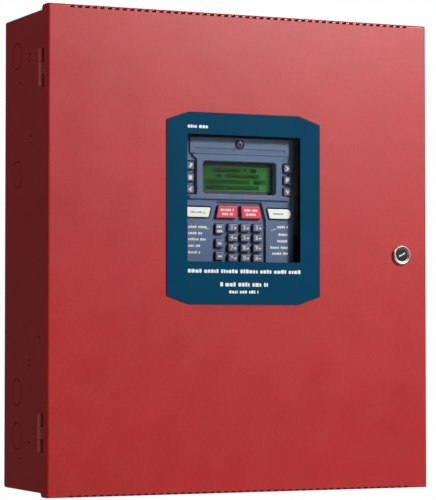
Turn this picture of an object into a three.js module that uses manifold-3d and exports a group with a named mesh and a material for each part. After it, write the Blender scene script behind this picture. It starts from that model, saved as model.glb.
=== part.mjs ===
// Wall-mounted fire alarm control panel: a sheet-steel cabinet with a hinged door, a window in the
// door, and behind it a control board with a display, a keypad, a transformer and two batteries.
// Millimetres. The origin is the middle of the back wall's rear face; +X is right, +Y points into
// the wall and +Z is up, so the front of the cabinet faces -Y.
import * as THREE from "three";
import { mergeVertices } from "three/addons/utils/BufferGeometryUtils.js";
import Module from "manifold-3d";

const wasm = await Module();
wasm.setup();

// ---------------------------------------------------------------- driving dimensions
const GAP = 0.3; // air between pieces that touch on the real object
const OVERRUN = 1; // how far a cutting tool runs past the face that it cuts

const CASE = { width: 422.9, height: 482.6, depth: 133.35, sheet: 1.5, lip: 13.5 };
const DOOR = { width: 427.2, height: 489.2, depth: 18.2, sheet: 1.2, bend: 2.4, corner: 0.6 };
const FRONT = -134.9; // the door's outer face
const DOOR_BACK = FRONT + DOOR.sheet; // the inner face of the door's front sheet
const DOOR_RIM = FRONT + DOOR.depth; // the free edge of the door's flanges

const RELIEF = { radius: 5.5, width: 4 }; // the rounded rear corners of the door's flanges
const VENT = { count: 48, pitch: 8, width: 4.4, drop: 2.6, skin: 0.3, reach: 2 };
const WINDOW = { x: 0.2, z: 55.15, width: 127.5, height: 129.3, hidden: 1.7 };
const BEZEL = { x: 0.2, z: 44.75, width: 173.2, height: 195.3, cutX: 24.3, cutZ: 8.4, sheet: 0.8 };
const PANE = { width: 148, height: 150, thick: 2, corner: 4 };

const HINGE = { x: -214, y: -114.5, length: 37, knuckle: 2.2, bore: 1.15, pin: 1.1, leaf: 1.2 };
const HINGE_Z = [181.5, -181.2]; // the middle of each hinge
const LOCK = { x: 183, z: 0.2, headR: 10.3, headOut: 3, bodyR: 9, plugR: 6.6, hole: 9.3, keyTurn: -0.38 };
const CAM = { thick: 2, width: 14, tail: 8, crank: 11, reach: 24, y: -121.7, tipY: -129.9 };

const KNOCKOUT = { diameter: 28.2, slit: 0.9, tab: 2.6 };
const HANGER = { x: 152.4, z: 203.2, head: 9.6, slot: 5.6, rise: 11 }; // keyholes in the back wall

const FACE = -122.4; // the front face of the display housing
const HOUSING = { width: 125, bottom: -14.5, top: 119, plate: 2.2, wall: 1.6, back: -106 };
const LCD = { z: 77.3, openW: 83, openH: 33.8, openZ: 77.1, wall: 2, frameW: 87, frameH: 38, face: -114.7 };
const SURROUND = { proud: 2.6, foot: 57, waist: 48.5, head: 53, heights: [54.6, 58, 59.8, 96, 98, 102] };
const POST = { x: 56.5, z: [-10.4, 114.9], radius: 2.6 }; // the posts that carry the display housing
const DISPLAY_SCREW_Z = 111.4;
const TRAY = { left: -29.5, right: 31, low: -12, bend: 34, high: 52.8, taper: 5, depth: 3, floor: 2 };
const KEYS = { proud: 1.6, trayProud: 4.2, clearance: 0.3, flange: 0.9, back: -115.9 };
const KEY_BOARD = { front: -114.6, thick: 1.6 };

const BOARD = { front: -92, thick: 1.6, width: 350, bottom: -60, top: 215 };
const CHASSIS = { front: -84, sheet: 1.2, halfWidth: 182, foot: 13, bottom: -66, top: 222 };
const BATTERY = { width: 151, depth: 65, height: 94, x: 78, terminal: 5 };
const CORE = { width: 72, height: 60, leg: 12, stack: 30, x: 120, z: -104, y: -46 };

// ---------------------------------------------------------------- looks
const look = (color, roughness, metalness) => ({ color, roughness, metalness });
const RED_PAINT = look(0xb4383c, 0.55, 0.1);
const BLUE_TRIM = look(0x0d4663, 0.45, 0.0);
const CLEAR_PANE = look(0xdfe8ea, 0.08, 0.0);
const NICKEL = look(0xb9b6ae, 0.3, 0.95);
const ZINC = look(0x9da1a3, 0.4, 0.85);
const DARK_STEEL = look(0x2c2e31, 0.45, 0.7);
const GREY_PLASTIC = look(0x6b7590, 0.5, 0.0);
const LCD_GREEN = look(0x3c6e37, 0.3, 0.0);
const GREEN_BOARD = look(0x1f5a3a, 0.5, 0.1);
const WHITE_KEY = look(0xebf0eb, 0.5, 0.0);
const RED_KEY = look(0xd94f62, 0.5, 0.0);
const BLACK_PLASTIC = look(0x1c1d1f, 0.5, 0.0);
const TERMINAL_GREEN = look(0x2f8f4e, 0.55, 0.0);
const TAPE_YELLOW = look(0xc9a43a, 0.6, 0.0);
const ALUMINIUM = look(0xb8bcc0, 0.35, 0.9);
const BRASS = look(0xb08d4a, 0.35, 0.9);

// ---------------------------------------------------------------- solids and booleans
const quarterTurn = Math.PI / 2;

function solid(geometry) {
  const bare = geometry.clone();
  bare.deleteAttribute("normal");
  bare.deleteAttribute("uv");
  const merged = mergeVertices(bare, 1e-4);
  const vertProperties = new Float32Array(merged.attributes.position.array);
  const triVerts = new Uint32Array(merged.index.array);
  return new wasm.Manifold(new wasm.Mesh({ numProp: 3, vertProperties, triVerts }));
}

function geometryOf(manifold) {
  const { vertProperties, triVerts } = manifold.getMesh();
  const geometry = new THREE.BufferGeometry();
  geometry.setAttribute("position", new THREE.BufferAttribute(vertProperties, 3));
  geometry.setIndex(new THREE.BufferAttribute(triVerts, 1));
  return geometry;
}

const joined = (first, ...others) => others.reduce((sum, next) => sum.add(solid(next)), solid(first));
const cut = (body, tools) => tools.reduce((rest, tool) => rest.subtract(solid(tool)), body);

// A box from its limits along X, Y and Z.
function block([x0, x1], [y0, y1], [z0, z1]) {
  const box = new THREE.BoxGeometry(x1 - x0, y1 - y0, z1 - z0);
  return box.translate((x0 + x1) / 2, (y0 + y1) / 2, (z0 + z1) / 2);
}

const around = (centre, size) => [centre - size / 2, centre + size / 2];

// A cylinder along X, Y or Z between two places on that axis.
function rod(axis, radius, [from, to], segments = 16) {
  const cylinder = new THREE.CylinderGeometry(radius, radius, to - from, segments);
  cylinder.translate(0, (from + to) / 2, 0);
  if (axis === "x") cylinder.rotateZ(-quarterTurn);
  if (axis === "z") cylinder.rotateX(quarterTurn);
  return cylinder;
}

function roundedRectangle(width, height, radius) {
  const [x, y] = [width / 2, height / 2];
  const shape = new THREE.Shape();
  shape.absarc(x - radius, y - radius, radius, 0, quarterTurn);
  shape.absarc(radius - x, y - radius, radius, quarterTurn, 2 * quarterTurn);
  shape.absarc(radius - x, radius - y, radius, 2 * quarterTurn, 3 * quarterTurn);
  shape.absarc(x - radius, radius - y, radius, 3 * quarterTurn, 4 * quarterTurn);
  shape.closePath();
  return shape;
}

// A shape drawn in X and Z, made into a plate whose faces lie at two places on Y.
function plate(shape, [y0, y1], curveSegments = 3) {
  const geometry = new THREE.ExtrudeGeometry(shape, { depth: y1 - y0, bevelEnabled: false, curveSegments });
  return geometry.rotateX(quarterTurn).translate(0, y1, 0);
}

// A shape drawn in X and Y, made into a bar between two places on Z.
function bar(shape, [z0, z1]) {
  const geometry = new THREE.ExtrudeGeometry(shape, { depth: z1 - z0, bevelEnabled: false });
  return geometry.translate(0, 0, z0);
}

const polygon = (points) => new THREE.Shape(points.map(([x, y]) => new THREE.Vector2(x, y)));

function part(name, shape, { color, roughness, metalness }, [x, y, z] = [0, 0, 0]) {
  const material = new THREE.MeshStandardMaterial({ color, roughness, metalness, flatShading: true });
  const mesh = new THREE.Mesh(shape.isBufferGeometry ? shape : geometryOf(shape), material);
  mesh.name = name;
  mesh.position.set(x, y, z);
  return mesh;
}

function group(...children) {
  const made = new THREE.Group();
  made.add(...children);
  return made;
}

// ---------------------------------------------------------------- cabinet
// The ring-shaped slit round a knockout, broken by the two tabs that hold the disc, along an axis.
function knockoutSlit(axis, [from, to]) {
  const radius = KNOCKOUT.diameter / 2;
  const ring = cut(solid(rod(axis, radius, [from, to], 20)), [
    rod(axis, radius - KNOCKOUT.slit, [from - OVERRUN, to + OVERRUN], 20),
  ]);
  const along = [from - OVERRUN, to + OVERRUN];
  const [narrow, wide] = [around(0, KNOCKOUT.tab), around(0, KNOCKOUT.diameter + OVERRUN)];
  const limits = { x: [along, narrow, wide], y: [narrow, along, wide], z: [narrow, wide, along] };
  return geometryOf(cut(ring, [block(...limits[axis])]));
}

function keyhole() {
  const through = [-CASE.sheet - OVERRUN, OVERRUN];
  const slot = block(around(0, HANGER.slot), through, [0, HANGER.rise]);
  const end = rod("y", HANGER.slot / 2, through, 12).translate(0, 0, HANGER.rise);
  return geometryOf(joined(rod("y", HANGER.head / 2, through), slot, end));
}

function backBox() {
  const { width, height, depth, sheet, lip } = CASE;
  const [halfW, halfH] = [width / 2, height / 2];
  const mouth = [-depth - OVERRUN, sheet - depth + OVERRUN];
  const tools = [
    block(around(0, width - 2 * sheet), [sheet - depth, -sheet], around(0, height - 2 * sheet)),
    block(around(0, width - 2 * lip), mouth, around(0, height - 2 * lip)),
  ];
  for (const side of [-1, 1]) {
    const wall = [side * (halfW + OVERRUN), side * (halfW - sheet - OVERRUN)].sort((a, b) => a - b);
    for (const [y, z] of [[-37.6, 201.5], [-39.6, 80], [-39.6, -142.5], [-40.8, -187]]) {
      tools.push(knockoutSlit("x", wall).translate(0, y, z));
    }
    const screwHoles = [[-75.1, 200.4], [-75.1, 192.9], [-48, 173], [-78.3, 116.5], [-78.3, 110],
      [-105.3, -85.7], [-77.3, -109.9], [-77.3, -114.9], [-76, -192.3], [-48.8, -209.2]];
    for (const [y, z] of screwHoles) {
      tools.push(rod("x", 1.6, wall, 8).translate(0, y, z));
    }
    for (const x of [-120, -40, 40, 120]) {
      const roof = [halfH - sheet - OVERRUN, halfH + OVERRUN];
      const floor = [-halfH - OVERRUN, OVERRUN - halfH + sheet];
      if (side > 0 || Math.abs(x) > 100) {
        tools.push(knockoutSlit("z", side > 0 ? roof : floor).translate(x, -39.6, 0));
      }
    }
    for (const z of [-HANGER.z, HANGER.z]) {
      tools.push(keyhole().translate(side * HANGER.x, 0, z));
    }
  }
  for (const z of HINGE_Z) {
    const window = around(z, HINGE.length + 4);
    tools.push(block([-halfW - OVERRUN, lip + 2 - halfW], [-depth - OVERRUN, HINGE.y + 2.6], window));
  }
  const shell = block(around(0, width), [-depth, 0], around(0, height));
  return part("back_box", cut(solid(shell), tools), RED_PAINT);
}

function groundStud() {
  const y = -CASE.sheet - GAP;
  const nuts = [[-4, 0], [-12, -8]].map(([from, to]) => rod("y", 4.7, [y + from, y + to], 6));
  return part("ground_stud", joined(rod("y", 2.5, [y - 20, y], 12), ...nuts), BRASS, [192, 0, -100]);
}

// ---------------------------------------------------------------- hinges
// One hinge seen along its pin, about the pin's axis: the knuckle, and the leaf that carries it.
const knuckle = (limits) => rod("z", HINGE.knuckle, limits);

function hinge(suffix, z) {
  const { length, leaf, bore, pin, x, y } = HINGE;
  const third = length / 3;
  const all = around(0, length);
  const outer = [[-length / 2, -third / 2 - GAP], [third / 2 + GAP, length / 2]];
  const middle = around(0, third - GAP);
  const pinBore = rod("z", bore, around(0, length + 2 * OVERRUN));

  const inside = CASE.sheet - CASE.width / 2 + GAP - x; // the inner face of the cabinet's side
  const neckFront = HINGE.knuckle - leaf;
  const necks = outer.flatMap((limits) => [
    knuckle(limits),
    block([0, inside + leaf], [neckFront, HINGE.knuckle], limits),
  ]);
  const caseLeaf = cut(joined(block([inside, inside + leaf], [neckFront, 22], all), ...necks), [pinBore]);

  const web = 6.8; // the door's leaf passes this far inside the pin
  const panel = DOOR_BACK + GAP - y;
  const doorLeaf = cut(
    joined(
      knuckle(middle),
      block([0, web], [-HINGE.knuckle, leaf - HINGE.knuckle], middle),
      block([web - leaf, web], [panel, leaf - HINGE.knuckle], all),
      block([web - leaf, 24], [panel, panel + leaf], all),
    ),
    [pinBore],
  );
  const head = rod("z", 1.9, [length / 2 + GAP, length / 2 + GAP + 1.2]);
  const pinSolid = joined(rod("z", pin, [-length / 2 - 0.6, length / 2 + 0.6]), head);
  const hung = group(
    part(`hinge_leaf_case_${suffix}`, caseLeaf, ZINC),
    part(`hinge_leaf_door_${suffix}`, doorLeaf, ZINC),
    part(`hinge_pin_${suffix}`, pinSolid, ZINC),
  );
  hung.position.set(x, y, z);
  return hung;
}

// ---------------------------------------------------------------- door
// A rounded block as deep as the door's flanges, with its front edges bent over by a radius.
function panBlock(width, height, bend, frontY) {
  const outline = roundedRectangle(width - 2 * bend, height - 2 * bend, DOOR.corner);
  const depth = DOOR.depth + OVERRUN;
  const bevel = { bevelThickness: bend, bevelSize: bend, bevelSegments: 2, curveSegments: 1 };
  const geometry = new THREE.ExtrudeGeometry(outline, { depth, ...bevel });
  return geometry.rotateX(quarterTurn).translate(0, frontY + bend + depth, 0);
}

// What is taken off one rear corner of the door, on the given sides of X and Z.
function cornerRelief(sideX, sideZ) {
  const { radius, width } = RELIEF;
  const ends = (edge, side, inward) =>
    [edge + side * OVERRUN, edge - side * inward].sort((a, b) => a - b);
  const [edgeX, edgeZ] = [sideX * (DOOR.width / 2), sideZ * (DOOR.height / 2)];
  const across = ends(edgeX, sideX, width);
  const corner = block(across, [DOOR_RIM - radius, DOOR_RIM + OVERRUN], ends(edgeZ, sideZ, radius));
  const kept = rod("x", radius, [across[0] - OVERRUN, across[1] + OVERRUN], 24)
    .translate(0, DOOR_RIM - radius, edgeZ - sideZ * radius);
  return geometryOf(cut(solid(corner), [kept]));
}

function doorShell() {
  const { width, height, sheet, bend } = DOOR;
  const inner = panBlock(width - 2 * sheet, height - 2 * sheet, bend - sheet, DOOR_BACK);
  const behind = block(around(0, width + 10), [DOOR_RIM, DOOR_RIM + 20], around(0, height + 10));
  const through = [FRONT - OVERRUN, DOOR_BACK + OVERRUN];
  const { x, z, hidden } = WINDOW;
  const opening = block(around(x, WINDOW.width + 2 * hidden), through, around(z, WINDOW.height + 2 * hidden));
  const lockHole = rod("y", LOCK.hole, through, 24).translate(LOCK.x, 0, LOCK.z);
  const tools = [inner, behind, opening, lockHole];
  for (const sideX of [-1, 1]) {
    tools.push(cornerRelief(sideX, -1), cornerRelief(sideX, 1));
  }
  for (const hingeZ of HINGE_Z) {
    const notch = [FRONT + 11.4, DOOR_RIM + OVERRUN];
    const flange = [-width / 2 - OVERRUN, OVERRUN + sheet - width / 2];
    tools.push(block(flange, notch, around(hingeZ, HINGE.length + 2)));
  }
  for (let i = 0; i < VENT.count; i += 1) {
    const ventX = (i - (VENT.count - 1) / 2) * VENT.pitch;
    for (const side of [-1, 1]) {
      const edge = side * (height / 2);
      const tall = [edge - side * VENT.drop, edge - side * VENT.skin].sort((a, b) => a - b);
      tools.push(block(around(ventX, VENT.width), [FRONT - OVERRUN, FRONT + VENT.reach], tall));
    }
  }
  return part("door_shell", cut(solid(panBlock(width, height, bend, FRONT)), tools), RED_PAINT);
}

function windowBezel() {
  const { width, height, cutX, cutZ } = BEZEL;
  const [x, z] = [width / 2, height / 2];
  const right = [[x, z - cutZ], [x - cutX, z]];
  const left = [[cutX - x, z], [-x, z - cutZ]];
  const lower = [...right, ...left].reverse().map(([px, pz]) => [px, -pz]);
  const outline = polygon([...right, ...left, ...lower]);
  const [holeX, holeZ] = [WINDOW.width / 2, WINDOW.height / 2];
  const shift = WINDOW.z - BEZEL.z;
  const corners = [[holeX, holeZ], [-holeX, holeZ], [-holeX, -holeZ], [holeX, -holeZ]];
  outline.holes.push(polygon(corners.map(([px, pz]) => [px, pz + shift])));
  const back = FRONT - GAP;
  return part("window_bezel", plate(outline, [back - BEZEL.sheet, back]), BLUE_TRIM, [BEZEL.x, 0, BEZEL.z]);
}

function windowPane() {
  const front = DOOR_BACK + GAP;
  const sheet = plate(roundedRectangle(PANE.width, PANE.height, PANE.corner), [front, front + PANE.thick]);
  return part("window_pane", sheet, CLEAR_PANE, [WINDOW.x, 0, WINDOW.z]);
}

// ---------------------------------------------------------------- lock
// The lock's pieces are drawn about its own axis, along Y.
function lock() {
  const { headR, headOut, bodyR, plugR } = LOCK;
  const bodyEnd = CAM.y - GAP;
  const head = [FRONT - GAP - headOut, FRONT - GAP];
  const seat = plugR + 0.05;
  const body = cut(joined(rod("y", headR, head, 28), rod("y", bodyR, [head[0] + 1, bodyEnd], 28)), [
    rod("y", 8.2, [head[0] - OVERRUN, head[0] + 1.2], 28),
    rod("y", seat, [head[0] - OVERRUN, bodyEnd + OVERRUN], 24),
  ]);
  const nutLimits = [DOOR_BACK + GAP, DOOR_BACK + GAP + 3];
  const nutBore = rod("y", bodyR + GAP, [nutLimits[0] - OVERRUN, nutLimits[1] + OVERRUN], 28);
  const nut = cut(solid(rod("y", 13.5, nutLimits, 6)), [nutBore]);

  const faceY = head[0] + 1;
  const tailEnd = CAM.y + CAM.thick - GAP / 2;
  const tail = block(around(0, CAM.tail), [bodyEnd - 2, tailEnd], around(0, CAM.tail));
  const screwBore = rod("y", 2.1, [tailEnd - 8, tailEnd + OVERRUN], 12);
  const keyway = block(around(0, 8), [faceY - OVERRUN, faceY + 5], around(0, 1.6)).rotateY(LOCK.keyTurn);
  const plug = cut(joined(rod("y", plugR, [faceY, bodyEnd], 24), tail), [screwBore, keyway]);

  const { thick, crank, reach, tipY, y } = CAM;
  const across = around(0, CAM.width);
  const square = around(0, CAM.tail + 2 * GAP);
  const cam = cut(
    joined(
      block(across, [y, y + thick], [-crank, 7]),
      block(across, [tipY, y + thick], [-crank, thick - crank]),
      block(across, [tipY, tipY + thick], [-reach, thick - crank]),
    ),
    [block(square, [y - OVERRUN, y + thick + OVERRUN], square)],
  );
  const screwHead = [y + thick + GAP, y + thick + GAP + 2.6];
  const screw = joined(rod("y", 6, screwHead, 6), rod("y", 2, [tailEnd - 7, screwHead[0] + 1], 12));
  const turned = group(
    part("lock_body", body, NICKEL),
    part("lock_nut", nut, ZINC),
    part("lock_plug", plug, DARK_STEEL),
    part("lock_cam", cam, ZINC),
    part("cam_screw", screw, ZINC),
  );
  turned.position.set(LOCK.x, 0, LOCK.z);
  return turned;
}

// ---------------------------------------------------------------- display and keypad
// A key's outline, as the ends of its top and bottom edges and its lower and upper height.
function keyOutline({ topEdge, bottomEdge, heights }, grow) {
  const [low, high] = [heights[0] - grow, heights[1] + grow];
  return polygon([
    [topEdge[1] + grow, high],
    [topEdge[0] - grow, high],
    [bottomEdge[0] - grow, low],
    [bottomEdge[1] + grow, low],
  ]);
}

const mirrored = ([a, b]) => [-b, -a];

function keySet() {
  const keys = {};
  const upright = (x, width, z, height) => {
    const edge = around(x, width);
    return { topEdge: edge, bottomEdge: edge, heights: around(z, height) };
  };
  for (let row = 0; row < 3; row += 1) {
    keys[`key_left_${row + 1}`] = upright(-55.2, 9, 88.5 - 12.15 * row, 8.5);
    keys[`key_right_${row + 1}`] = upright(55.2, 9, 88.5 - 12.15 * row, 8.5);
  }
  const white = { topEdge: [31.6, 59.6], bottomEdge: [34.5, 59.6], heights: [35.8, 46.6] };
  const red = { topEdge: [1.6, 23.5], bottomEdge: [2.6, 26.1], heights: [35.4, 48.8] };
  const flipped = ({ topEdge, bottomEdge, heights }) => ({
    topEdge: mirrored(topEdge),
    bottomEdge: mirrored(bottomEdge),
    heights,
  });
  Object.assign(keys, { key_white_left: flipped(white), key_white_right: white });
  Object.assign(keys, { key_red_left: flipped(red), key_red_right: red });
  keys.key_side_1 = upright(-21.9, 9.8, 24.6, 10.6);
  keys.key_side_2 = upright(-21.9, 9.8, 9.7, 9.2);
  keys.key_side_3 = upright(-21.9, 9.8, -3.4, 9.2);
  const labels = ["1", "2", "3", "4", "5", "6", "7", "8", "9", "star", "0", "hash"];
  labels.forEach((label, i) => {
    const [column, row] = [i % 3, Math.floor(i / 3)];
    keys[`key_${label}`] = upright(-7 + 14.1 * column, 11, 26.1 - 10.4 * row, 8.2);
  });
  return keys;
}

// The number, side and red keys stand on the sunk tray's floor; the others stand in the face.
const inTray = (name) => !/_white_|_left_|_right_/.test(name);

function key(name, outline) {
  const sunk = inTray(name);
  const front = sunk ? FACE + TRAY.depth - KEYS.trayProud : FACE - KEYS.proud;
  const wall = sunk ? TRAY.depth + TRAY.floor : HOUSING.plate;
  const cap = plate(keyOutline(outline, 0), [front, KEYS.back]);
  const flange = plate(keyOutline(outline, KEYS.flange), [FACE + wall + GAP, KEYS.back]);
  let finish = GREY_PLASTIC;
  if (name.includes("white")) finish = WHITE_KEY;
  if (name.includes("red")) finish = RED_KEY;
  return part(name, joined(cap, flange), finish);
}

function trayOutline(grow) {
  const { left, right, low, bend, high, taper } = TRAY;
  return polygon([
    [right + grow, low - grow],
    [right + grow, bend],
    [right - taper + grow, high + grow],
    [left + taper - grow, high + grow],
    [left - grow, bend],
    [left - grow, low - grow],
  ]);
}

// The raised surround of the display opening, drawn in beside the function keys.
function surroundOutline() {
  const { foot, waist, head, heights } = SURROUND;
  const halfWidths = [foot, foot, waist, waist, head, head];
  const right = heights.map((z, i) => [halfWidths[i], z]);
  const left = [...right].reverse().map(([x, z]) => [-x, z]);
  return polygon([...right, ...left]);
}

function displayHousing(keys) {
  const { width, bottom, top, plate: sheet, wall, back } = HOUSING;
  const z = (bottom + top) / 2;
  const height = top - bottom;
  const body = solid(plate(roundedRectangle(width, height, 4), [FACE, back]).translate(0, 0, z));
  const inside = [FACE + sheet, back + OVERRUN];
  const hollow = block(around(0, width - 2 * wall), inside, around(z, height - 2 * wall));
  const surround = plate(surroundOutline(), [FACE - SURROUND.proud, FACE + 1]);
  const walls = block(
    around(0, LCD.openW + 2 * LCD.wall),
    [FACE + 1, LCD.face - GAP],
    around(LCD.openZ, LCD.openH + 2 * LCD.wall),
  );
  const opening = plate(roundedRectangle(LCD.openW, LCD.openH, 3), [FACE - 4, back])
    .translate(0, 0, LCD.openZ);
  const pan = plate(trayOutline(wall), [FACE + 1, FACE + TRAY.depth + TRAY.floor]);
  const sunk = plate(trayOutline(0), [FACE - OVERRUN, FACE + TRAY.depth]);
  let housing = joined(surround, walls, pan).add(body.subtract(solid(hollow)));
  housing = cut(housing, [sunk, opening]);
  for (const x of [-POST.x, POST.x]) {
    for (const postZ of POST.z) {
      const post = rod("y", POST.radius, [FACE + 1, BOARD.front - GAP], 12).translate(x, 0, postZ);
      housing = housing.add(solid(post));
    }
  }
  const keyHoles = Object.values(keys).map((outline) =>
    plate(keyOutline(outline, KEYS.clearance), [FACE - OVERRUN, KEYS.back]));
  const screwHole = rod("y", 2.3, [FACE - OVERRUN, FACE + sheet + OVERRUN], 16)
    .translate(0, 0, DISPLAY_SCREW_Z);
  return part("display_housing", cut(housing, [...keyHoles, screwHole]), GREY_PLASTIC);
}

function displayScrew() {
  const shank = rod("y", 2, [FACE - 0.6, FACE + HOUSING.plate + 6], 12);
  const head = rod("y", 4.6, [FACE - GAP - 2.4, FACE - GAP], 20);
  return part("display_screw", joined(shank, head), DARK_STEEL, [0, 0, DISPLAY_SCREW_Z]);
}

function keypadBoard() {
  const limits = [KEY_BOARD.front, KEY_BOARD.front + KEY_BOARD.thick];
  const through = [limits[0] - OVERRUN, limits[1] + OVERRUN];
  const low = LCD.z - LCD.frameH / 2 - GAP;
  const high = LCD.openZ + LCD.openH / 2 + LCD.wall + GAP;
  const window = block(around(0, LCD.frameW + 2 * GAP), through, [low, high]);
  const postHoles = [-POST.x, POST.x].map((x) =>
    rod("y", POST.radius + GAP, through, 12).translate(x, 0, POST.z[0]));
  const board = solid(block([-59.8, 59.8], limits, [-9.6, 104]));
  return part("keypad_board", cut(board, [window, ...postHoles]), GREEN_BOARD);
}

function lcdModule() {
  const boardFront = LCD.face + 6;
  const frame = block(around(0, LCD.frameW), [LCD.face, boardFront + 0.5], around(LCD.z, LCD.frameH));
  const view = block(around(0, 76), [LCD.face - OVERRUN, LCD.face + 0.8], around(LCD.z, 24));
  const board = block(around(0, 98), [boardFront, boardFront + 1.6], around(LCD.z, 60));
  return part("lcd_module", cut(joined(frame, board), [view]), LCD_GREEN);
}

function display() {
  const keys = keySet();
  return group(
    displayHousing(keys),
    displayScrew(),
    keypadBoard(),
    lcdModule(),
    ...Object.entries(keys).map(([name, outline]) => key(name, outline)),
  );
}

// ---------------------------------------------------------------- control electronics
function chassis() {
  const { front, sheet, halfWidth, foot, bottom, top } = CHASSIS;
  const rear = -CASE.sheet - GAP;
  const right = [
    [halfWidth, front],
    [halfWidth, rear - sheet],
    [halfWidth + foot, rear - sheet],
    [halfWidth + foot, rear],
    [halfWidth - sheet, rear],
    [halfWidth - sheet, front + sheet],
  ];
  const left = [...right].reverse().map(([x, y]) => [-x, y]);
  let tray = solid(bar(polygon([...right, ...left]), [bottom, top]));
  for (const x of [-150, 0, 150]) {
    for (const z of [bottom + 18, top - 24]) {
      const standoff = rod("y", 3.5, [BOARD.front + BOARD.thick + GAP, front + 0.5], 12);
      tray = tray.add(solid(standoff.translate(x, 0, z)));
    }
  }
  return part("chassis", tray, ZINC);
}

function mainBoard() {
  const limits = [BOARD.front, BOARD.front + BOARD.thick];
  return part("main_board", block(around(0, BOARD.width), limits, [BOARD.bottom, BOARD.top]), GREEN_BOARD);
}

// A row of screw terminals on the board: a block with one wire entry and one screw well a pole.
function terminalStrip(name, poles, pitch, [x, z], upright) {
  const [rear, front] = [BOARD.front - GAP, BOARD.front - GAP - 12];
  const length = poles * pitch + 1;
  const tools = [];
  for (let i = 0; i < poles; i += 1) {
    const at = (i - (poles - 1) / 2) * pitch;
    tools.push(block(around(at, pitch * 0.6), [front + 2.5, front + 8], [-7, -2]));
    tools.push(block(around(at, pitch * 0.6), [front - OVERRUN, front + 1.5], [0, 3.6]));
  }
  const housing = solid(block(around(0, length), [front, rear], [-6, 6]));
  const strip = part(name, cut(housing, tools), TERMINAL_GREEN);
  strip.position.set(x, 0, z);
  if (upright) strip.rotation.y = quarterTurn;
  return strip;
}

function relay(name, x, z) {
  const [rear, front] = [BOARD.front - GAP, BOARD.front - GAP - 15.7];
  const can = block(around(0, 12.6), [front, rear], around(0, 29));
  return part(name, can, BLACK_PLASTIC, [x, 0, z]);
}

function heatSink() {
  const [fins, pitch, thick, height] = [8, 7, 2, 24];
  const outline = [[(fins - 1) * pitch + thick, 0], [0, 0]];
  for (let i = 0; i < fins; i += 1) {
    const x = i * pitch;
    const floor = i < fins - 1 ? [[x + thick, -3], [x + pitch, -3]] : [];
    outline.push([x, -height], [x + thick, -height], ...floor);
  }
  const profile = polygon(outline.filter(([x, y], i) => i < 2 || x > 0 || y < -3));
  return part("heat_sink", bar(profile, [0, 34]), ALUMINIUM, [-166, BOARD.front - GAP, 150]);
}

function capacitor() {
  const rear = BOARD.front - GAP;
  return part("main_capacitor", rod("y", 11, [rear - 30, rear], 24), BLACK_PLASTIC, [-135, 0, 105]);
}

function sounder() {
  const rear = BOARD.front - GAP;
  const can = rod("y", 12, [rear - 9.5, rear], 24);
  const mouth = rod("y", 2, [rear - 9.5 - OVERRUN, rear - 7], 12);
  return part("sounder", cut(solid(can), [mouth]), BLACK_PLASTIC, [118, 0, 168]);
}

// ---------------------------------------------------------------- power
function transformer() {
  const { width, height, leg, stack, x, y, z } = CORE;
  const windowW = (width - 4 * leg) / 2;
  const windowH = height - 2 * leg;
  const windowX = leg + windowW / 2;
  const through = around(0, stack + 2 * OVERRUN);
  const windows = [-windowX, windowX].map((at) => block(around(at, windowW), through, around(0, windowH)));
  const wall = -CASE.sheet - GAP - y;
  const feet = [-1, 1].flatMap((side) => {
    const inner = side * (width / 2);
    const upright = [inner, inner + side * 2].sort((a, b) => a - b);
    const flat = [inner, inner + side * 13].sort((a, b) => a - b);
    return [block(upright, [-8, wall], around(0, 40)), block(flat, [wall - 2, wall], around(0, 40))];
  });
  const frame = joined(block(around(0, width), around(0, stack), around(0, height)), ...feet);
  const round = windowW - 2 * GAP;
  const coilDepth = around(0, stack + 2 * round);
  const coilBlock = block(around(0, 2 * (leg + round)), coilDepth, around(0, windowH - 2 * GAP));
  const coilHole = block(around(0, 2 * leg + 2 * GAP), around(0, stack + 2 * GAP), around(0, height));
  const made = group(
    part("transformer_core", cut(frame, windows), DARK_STEEL),
    part("transformer_coil", cut(solid(coilBlock), [coilHole]), TAPE_YELLOW),
  );
  made.position.set(x, y, z);
  return made;
}

function battery(name, x) {
  const { width, depth, height, terminal } = BATTERY;
  const [floor, rear] = [CASE.sheet - CASE.height / 2 + GAP, -CASE.sheet - 2 * GAP];
  const tabs = [-1, 1].map((side) =>
    block(around(side * (width / 2 - 14), 6), around(0, 0.8), [height - 1, height + terminal]));
  const shell = plate(roundedRectangle(width, depth, 3), [0, height]).rotateX(quarterTurn);
  const body = joined(shell, ...tabs);
  return part(name, body, BLACK_PLASTIC, [x, rear - depth / 2, floor]);
}

function batteryStrap() {
  const half = CASE.width / 2 - CASE.sheet - GAP;
  const front = -CASE.sheet - 2 * GAP - BATTERY.depth - GAP;
  const [sheet, tab] = [1.2, 14];
  const tip = front + tab;
  const right = [[half, front - sheet], [half, tip], [half - sheet, tip], [half - sheet, front]];
  const left = [...right].reverse().map(([x, y]) => [-x, y]);
  return part("battery_strap", bar(polygon([...right, ...left]), [-198, -178]), ZINC);
}

export default group(
  backBox(),
  groundStud(),
  hinge("upper", HINGE_Z[0]),
  hinge("lower", HINGE_Z[1]),
  doorShell(),
  windowBezel(),
  windowPane(),
  lock(),
  display(),
  chassis(),
  mainBoard(),
  terminalStrip("terminal_strip_field", 20, 8, [-40, -48], false),
  terminalStrip("terminal_strip_loop", 12, 8, [158, 40], true),
  terminalStrip("mains_terminal_block", 3, 13, [-148, -48], false),
  relay("relay_alarm", 92, 60),
  relay("relay_trouble", 112, 60),
  heatSink(),
  capacitor(),
  sounder(),
  transformer(),
  battery("battery_left", -BATTERY.x),
  battery("battery_right", BATTERY.x),
  batteryStrap(),
);
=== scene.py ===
"""Looks of a wall-mounted fire alarm control panel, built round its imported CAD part."""

import math
import random

import bmesh
import bpy
from mathutils import Matrix, Vector


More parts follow.
